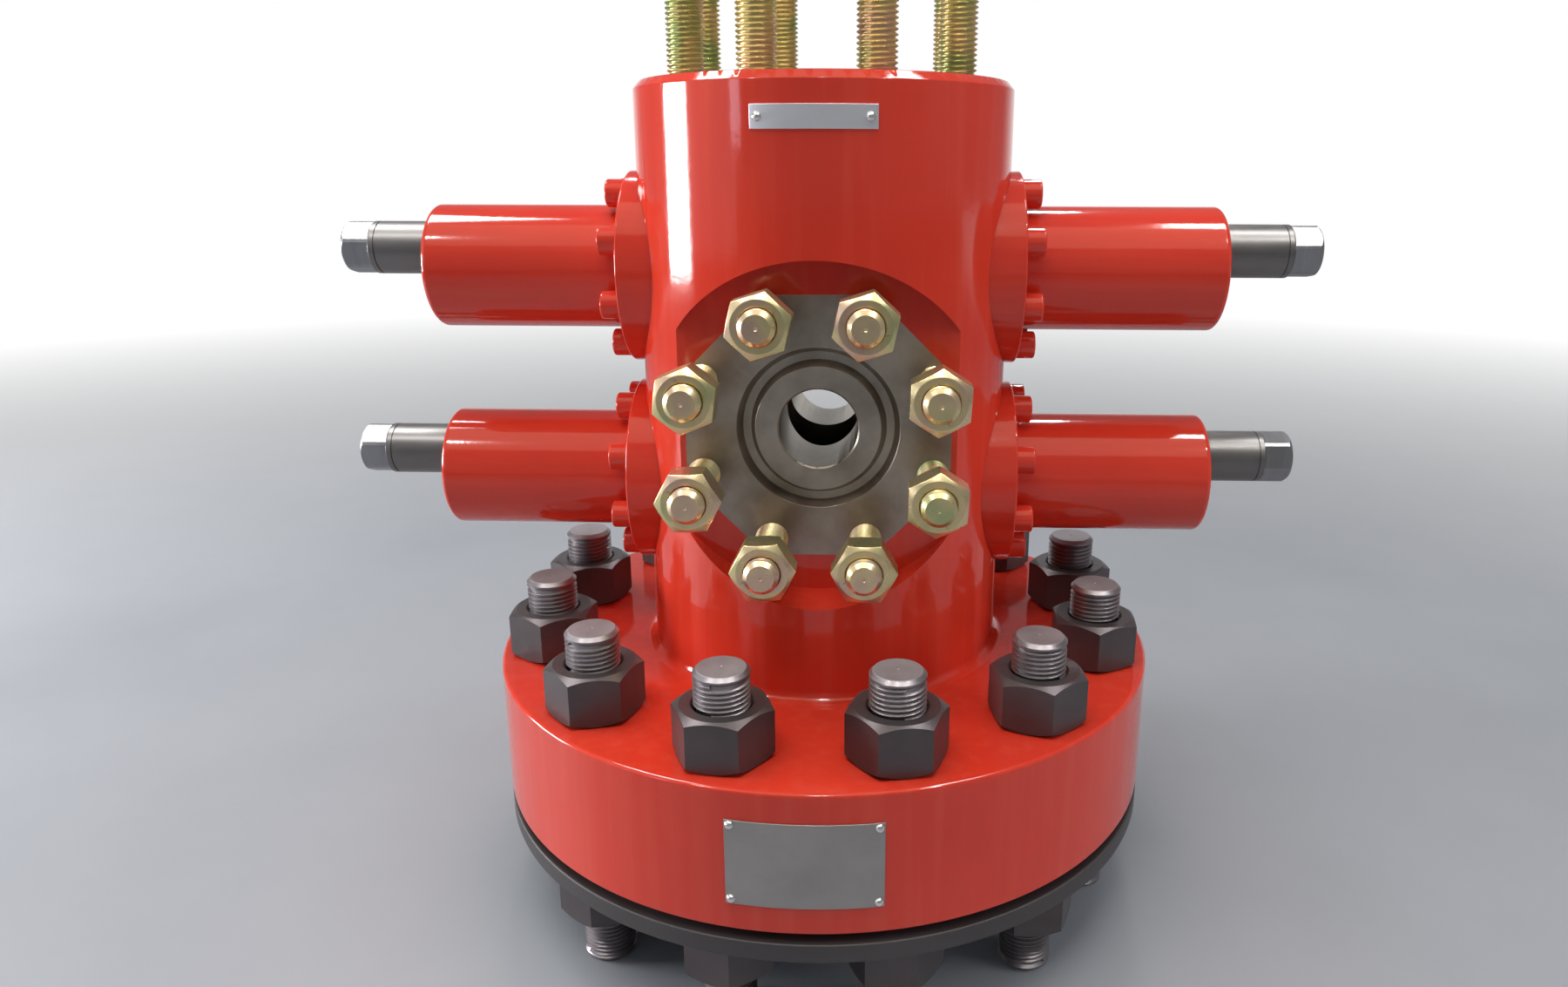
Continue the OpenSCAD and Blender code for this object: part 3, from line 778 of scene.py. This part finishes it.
def make_ram_screw(word, side, z, out, turn):
    """Button, neck, plain shank with a groove, and a hexagon with turned-off corners."""
    back, end, r, edge = SCREW_BACK, SCREW_END, SCREW_R, 1.2
    button_r, neck_r = 13.0, 9.0
    hex_low = end - HEX_LONG
    groove = hex_low - 5.5
    button_low, button_top, shank_low = back - 17.94, back - 8.06, back + 0.06
    outline = [(0, button_low), (button_r, button_low), (button_r, button_top),
               (neck_r, button_top), (neck_r, shank_low), (r - edge, shank_low),
               (r, shank_low + edge), (r, groove), (r - 0.6, groove + 0.3), (r - 0.6, groove + 0.9),
               (r, groove + 1.2)] + arc(r - edge, hex_low - edge, edge, 0, 90, 4) + [(0, hex_low)]
    shank = turned("shank", outline, 96)
    head = hexagon("head", HEX_ACROSS, hex_low - 2.0, end + 1.0)
    blank = turned("blank", [(0, hex_low - 1.0), (r - 0.05, hex_low - 1.0), (r - 0.05, end - 2.4),
                             (16.2, end), (0, end)], 96)
    cut(head, blank, "INTERSECT")
    settle(soften(head, 0.5, 20), Matrix.Rotation(radians(turn), 4, "Z"))
    smooth(shank, 32)
    for piece, material in ((shank, ROD), (head, FLATS)):
        piece.data.materials.clear()
        piece.data.materials.append(material)
    piece = joined(word + "_ram_screw_turned", [shank, head])
    place = Matrix.Translation((-side * SCREW_RISE * MM, 0, out * MM))
    settle(piece, bonnet_frame(side, z) @ place)
    finish_piece(piece, word + "_screw_unit", word + "_ram_screw", "plain_steel")


# Body, plate and tags

def make_body():
    """The forging: turned outline, then pockets, seats, outlets and ram bores cut into it."""
    top, edge, fillet = BODY_TOP, FLANGE_EDGE, FLANGE_FILLET
    outline = [(BORE_R, FLANGE_LOW), (FLANGE_R - edge, FLANGE_LOW)]
    outline += arc(FLANGE_R - edge, FLANGE_LOW + edge, edge, -90, 0, 5)[1:]
    outline += arc(FLANGE_R - edge, FLANGE_TOP - edge, edge, 0, 90, 5)
    outline += arc(BODY_R + fillet, FLANGE_TOP + fillet, fillet, -90, -180, 7)
    chamfer = top - TOP_CHAMFER
    outline += [(BODY_R, chamfer - 1.0), (BODY_R - 0.35, chamfer - 0.2)]
    outline += [(BODY_R - TOP_CHAMFER + 0.5, top - 0.45), (BODY_R - TOP_CHAMFER - 1.0, top)]
    inner, low_in, low_out, outer = TOP_GROOVE
    low = top - GROOVE_DEEP
    outline += [(outer + 0.4, top), (outer - 0.1, top - 0.4), (low_out, low), (low_in, low),
                (inner + 0.1, top - 0.4), (inner - 0.4, top), (BORE_R + 1.2, top), (BORE_R, top - 1.2)]
    piece = turned("body_forging", outline, 288, closed=True)
    past_axis, past_skin = -2, 150
    inner, low_in, low_out, outer = OUTLET_GROOVE
    face = OUTLET_FACE
    low = face - GROOVE_DEEP
    for side in (FRONT, BACK):
        cutter = [(0, past_axis), (OUTLET_BORE_R, past_axis), (OUTLET_BORE_R, face - 1.0),
                  (OUTLET_BORE_R + 1.0, face), (inner - 0.4, face), (inner, face - 0.4), (low_in, low),
                  (low_out, low), (outer, face - 0.4), (outer + 0.4, face), (POCKET_R, face),
                  (POCKET_R, past_skin), (0, past_skin)]
        cut(piece, settle(turned("outlet_cut", cutter, 192), outlet_frame(side)))
    seat_r = DISC_R + 0.3
    for side in (RIGHT, LEFT):
        for z in (UPPER_Z, LOWER_Z):
            cutter = [(0, past_axis), (RAM_BORE_R, past_axis), (RAM_BORE_R, SEAT), (seat_r, SEAT),
                      (seat_r, past_skin), (0, past_skin)]
            cut(piece, settle(turned("bonnet_cut", cutter, 160), bonnet_frame(side, z)))
    soften(piece, 0.8, 30)
    finish_piece(piece, "housing", "body", "red_paint", BODY)


def make_base_plate():
    """The round plate under the flange, with the ring gasket's groove."""
    r, edge, low = FLANGE_R, PLATE_EDGE, PLATE_TOP - PLATE_GROOVE_DEEP
    inner, low_in, low_out, outer = PLATE_GROOVE
    outline = [(0, PLATE_LOW), (r - edge, PLATE_LOW)]
    outline += arc(r - edge, PLATE_LOW + edge, edge, -90, 0, 3)[1:]
    outline += arc(r - edge, PLATE_TOP - edge, edge, 0, 90, 3)
    outline += [(outer, PLATE_TOP), (low_out, low), (low_in, low), (inner, PLATE_TOP), (0, PLATE_TOP)]
    piece = smooth(turned("base_plate_coated", outline, 256), 32)
    finish_piece(piece, "housing", "base_plate", "black_oxide", BASE)


def bent_plate(name, r, width, height, z, turn):
    """A thin sheet bent round the main axis, at the front."""
    sweep = width / r
    inner = r + 0.05
    outer = inner + SHEET_THICK
    low, high = z - height / 2, z + height / 2
    piece = turned(name, [(inner, low), (outer, low), (outer, high), (inner, high)], 28,
                   closed=True, angle=sweep)
    settle(piece, Matrix.Rotation(-pi / 2 + sweep / 2 + radians(turn), 4, "Z"))
    return soften(piece, 0.3, 40)


def rivets(name, r, spots, z, turn):
    """Round rivet heads on a bent plate, at spots given as (along, up)."""
    head_r, cap = 3.0, 2.16
    ball = (head_r * head_r + cap * cap) / (2 * cap)
    lean = acos((ball - cap) / ball)
    outline = [(0, -0.3), (head_r, -0.3), (head_r, 0)]
    for i in range(1, 9):
        angle = lean * (1 - i / 8)
        outline.append((ball * sin(angle), cap - ball + ball * cos(angle)))
    one = turned(name, outline, 28)
    places = []
    for along, up in spots:
        about = Matrix.Rotation(-pi / 2 + along / r + radians(turn), 4, "Z")
        out = Matrix.Translation(((r + SHEET_THICK + 0.1) * MM, 0, (z + up) * MM))
        places.append(about @ out @ Matrix.Rotation(pi / 2, 4, "Y"))
    return smooth(copies(name, one, places), 50)


def make_plates():
    """The small tag near the body's top and the nameplate on the flange, both bare."""
    piece = bent_plate("rating_tag_sheet", BODY_R, TAG_W, TAG_H, TAG_Z, 0)
    finish_piece(piece, "housing", "rating_tag", "plate_metal", TAG)
    piece = rivets("rating_tag_rivet_heads", BODY_R, [(-TAG_RIVET, 0), (TAG_RIVET, 0)], TAG_Z, 0)
    finish_piece(piece, "housing", "rating_tag_rivets", "plate_metal", RIVET)
    piece = bent_plate("nameplate_sheet", FLANGE_R, NAMEPLATE_W, NAMEPLATE_H, NAMEPLATE_Z,
                       NAMEPLATE_TURN)
    finish_piece(piece, "housing", "nameplate", "plate_metal", SHEET)
    along, up = NAMEPLATE_RIVET
    spots = [(s * along, t * up) for s in (-1, 1) for t in (-1, 1)]
    piece = rivets("nameplate_rivet_heads", FLANGE_R, spots, NAMEPLATE_Z, NAMEPLATE_TURN)
    finish_piece(piece, "housing", "nameplate_rivets", "plate_metal", RIVET)


def dress_hidden_nodes():
    """Materials for the CAD nodes that show as they are, inside the bores."""
    endings = {"ring_gasket": FLATS, "_ram": ROD, "_ram_seal": RUBBER}
    for name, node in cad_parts.items():
        for ending, material in endings.items():
            if name.endswith(ending):
                for slot in node.material_slots:
                    slot.material = material


# Camera, floor and light

def make_camera():
    """The photograph's camera, from a fit of the flanges and studs.

    The focal length and the shifts are in pixels of the photo, the reach and height in millimetres.
    """
    photo_width, focal, shift_right, shift_up = 1800, 1248.763, -69.408, -31.426
    reach, azimuth, height = 786.213, radians(2.804), 527.756
    pitch, yaw, roll = radians(15.408), radians(-1.746), radians(0.143)
    forward = Vector((sin(yaw) * cos(pitch), cos(yaw) * cos(pitch), -sin(pitch)))
    right = Vector((cos(yaw), -sin(yaw), 0))
    up = right.cross(forward)
    tilted_right = right * cos(roll) + up * sin(roll)
    tilted_up = up * cos(roll) - right * sin(roll)
    data = bpy.data.cameras.new("photo_camera")
    data.sensor_fit = "HORIZONTAL"
    data.sensor_width = 36
    data.lens = focal / photo_width * data.sensor_width
    data.shift_x = shift_right / photo_width
    data.shift_y = shift_up / photo_width
    data.clip_start = 0.05
    data.clip_end = 60
    camera = bpy.data.objects.new("photo_camera", data)
    bpy.context.scene.collection.objects.link(camera)
    turn = Matrix((tilted_right, tilted_up, -forward)).transposed().to_4x4()
    place = Vector((reach * sin(azimuth), -reach * cos(azimuth), height)) * MM
    camera.matrix_world = Matrix.Translation(place) @ turn
    bpy.context.scene.camera = camera


def seen_directly(finish):
    """1 for rays that show the background itself: camera, mirror and glass rays."""
    rays = finish.node("ShaderNodeLightPath", output="Is Camera Ray")
    node = rays.socket.node
    glossy = Wire(finish, node.outputs["Is Glossy Ray"])
    through = Wire(finish, node.outputs["Is Transmission Ray"])
    return rays.highest(glossy).highest(through)


def make_floor():
    """A pale floor that fades to white: near by for the camera, and in mirrors far off at the back."""
    deselect()
    bpy.ops.mesh.primitive_circle_add(vertices=96, radius=14, fill_type="NGON")
    floor = newest("studio_floor")
    finish = Finish("floor_pale")
    x, y = finish.axes()[:2]
    grain = finish.noise(3.0, 5.0, 0.6)
    colour = finish.mix(grain, (0.31, 0.33, 0.37), (0.41, 0.43, 0.47))
    ground = finish.surface(colour, 0.6)
    white = finish.node("ShaderNodeEmission", inputs={"Color": (1, 1, 1, 1), "Strength": 1.0})
    rays = finish.node("ShaderNodeLightPath", output="Is Camera Ray")
    start = 3.0 - rays * 2.1
    shown = rays.highest(y.held()) * seen_directly(finish)
    far = (((x * x + y * y) ** 0.5 - start) / 2.6).held() * shown
    floor.data.materials.append(finish.done(finish.blend(far, ground, white)))


def lamp(name, place, aim, size, power, tint=(1, 1, 1), seen_by="both"):
    """An area lamp, seen by mirrors, by matt surfaces or by both.

    Aim is a point, or the lamp's turn in degrees if it faces straight down.
    """
    data = bpy.data.lights.new(name, "AREA")
    data.shape = "RECTANGLE"
    data.size, data.size_y = size
    data.energy = power
    data.color = tint
    light = bpy.data.objects.new(name, data)
    bpy.context.scene.collection.objects.link(light)
    light.location = place
    if isinstance(aim, tuple):
        light.rotation_euler = (Vector(aim) - Vector(place)).to_track_quat("-Z", "Y").to_euler()
    else:
        light.rotation_euler = (0, 0, radians(aim))
    light.visible_camera = False
    light.visible_diffuse = seen_by != "mirrors"
    light.visible_glossy = seen_by != "matt"
    return light


def make_light():
    """Daylight from the left, soft light from above and the right, and lamps only mirrors show."""
    lamp("soft_ceiling", (-0.3, -0.35, 2.3), (0, 0, 0.3), (2.0, 1.8), 44, (1.0, 0.97, 0.92), "matt")
    lamp("left_window", (-2.2, 0.05, 0.5), (0, 0, 0.45), (0.74, 0.48), 40, (0.97, 0.985, 1.0))
    lamp("left_front_window", (-1.87, -1.69, 0.9), (0, 0, 0.5), (0.28, 0.6), 2.2,
         (0.82, 0.82, 1.0), "mirrors")
    lamp("right_fill", (2.1, -0.5, 1.0), (0, 0, 0.35), (1.2, 1.0), 16, seen_by="matt")
    lamp("left_wall", (-2.7, -1.0, 1.3), (0, 0, 0.6), (2.4, 2.2), 10, seen_by="mirrors")
    lamp("ceiling_glow", (0, -1.1, 2.7), (0, 0, 0.4), (3.2, 2.0), 19,
         (1.0, 0.90, 0.66), "mirrors")
    lamp("ceiling_strip_left", (-1.07, 0.33, 2.1), 45.0, (0.6, 0.6), 27, seen_by="mirrors")
    lamp("ceiling_strip_right", (0.88, -0.02, 2.1), 0.0, (0.48, 0.36), 14, seen_by="mirrors")
    shop_lamps = ((-1.25, -1.15), (0.0, -1.45), (1.2, -1.1), (-0.5, 1.5), (0.5, 1.6))
    for i, (x, y) in enumerate(shop_lamps):
        lamp("shop_lamp_" + str(i), (x, y, 2.3), (0, 0, 0.3), (0.16, 0.12), 14, seen_by="mirrors")
    world = bpy.data.worlds.new("studio_world")
    bpy.context.scene.world = world
    finish = Finish("studio_world", world)
    y, z = finish.axes()[1:]
    rays = finish.node("ShaderNodeLightPath", output="Is Camera Ray")
    behind = ((y - 0.72) / 0.2).held() * (1.0 - ((z - 0.1) / 0.3).held())
    soft = finish.node("ShaderNodeBackground", inputs={"Color": (0.93, 0.96, 1.0, 1), "Strength": 0.22})
    dim = finish.node("ShaderNodeBackground", inputs={"Color": (0.95, 0.96, 1.0, 1), "Strength": 0.26})
    white = finish.node("ShaderNodeBackground", inputs={"Color": (1, 1, 1, 1), "Strength": 1.0})
    mirrored = finish.blend(behind.highest(rays), dim, white)
    shader = finish.blend(seen_directly(finish), soft, mirrored)
    finish.node("ShaderNodeOutputWorld", inputs={"Surface": shader})


make_camera()
make_floor()
make_light()
make_body()
make_base_plate()
make_plates()
make_flange_bolting()
make_outlet_bolting()
make_top_bolting()
make_bonnets()
dress_hidden_nodes()
bpy.context.scene.view_settings.view_transform = "Standard"
